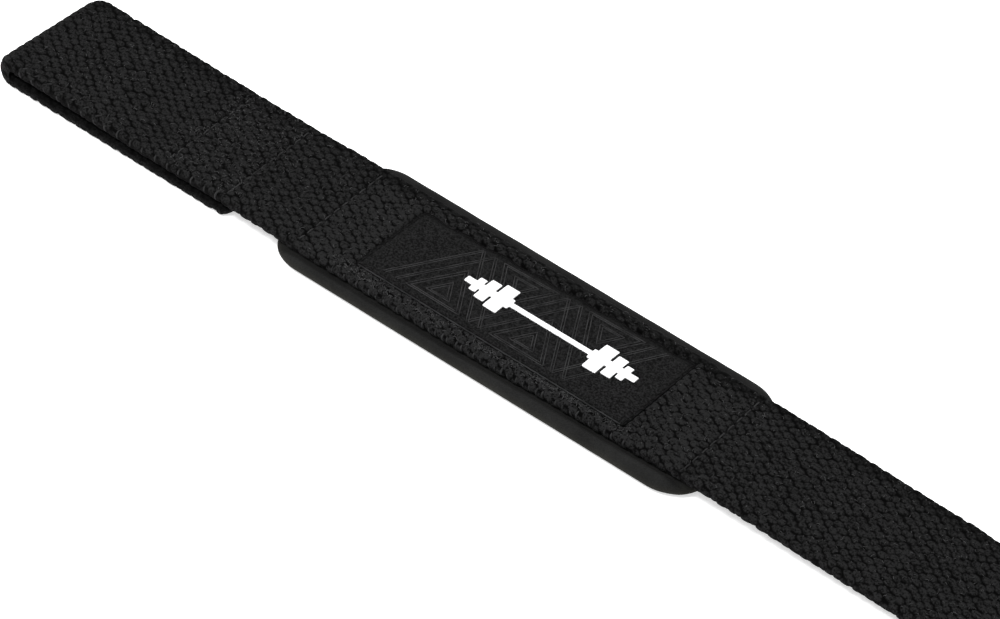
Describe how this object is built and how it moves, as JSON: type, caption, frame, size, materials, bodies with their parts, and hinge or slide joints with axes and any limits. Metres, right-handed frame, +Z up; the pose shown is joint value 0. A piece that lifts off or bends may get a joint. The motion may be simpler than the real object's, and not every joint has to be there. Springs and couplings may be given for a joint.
{
  "type": "weightlifting strap",
  "caption": "Padded lifting strap of thick webbing, with a flat sewn loop at one end, a foam wrist pad and a patch, lying with its pad down.",
  "frame": {"origin": "middle of the strap's overall box, on the surface that it lies on", "axes": "+X along the strap from the folded loop to the free end, +Y across it to the far side of the picture, +Z up from the pad's flat underside"},
  "size_m": [0.3239, 0.0482, 0.0099],
  "materials": {
    "webbing": "chunky black cotton webbing in plain weave",
    "pad": "matte black foam with a smooth skin",
    "patch": "fine black woven cloth with tone-on-tone stitching",
    "figure_thread": "white satin-stitched thread"
  },
  "bodies": {
    "root": {"webbing_strap": "webbing", "wrist_pad": "pad", "label_patch": "patch", "barbell_figure": "figure_thread"}
  },
  "joints": []
}
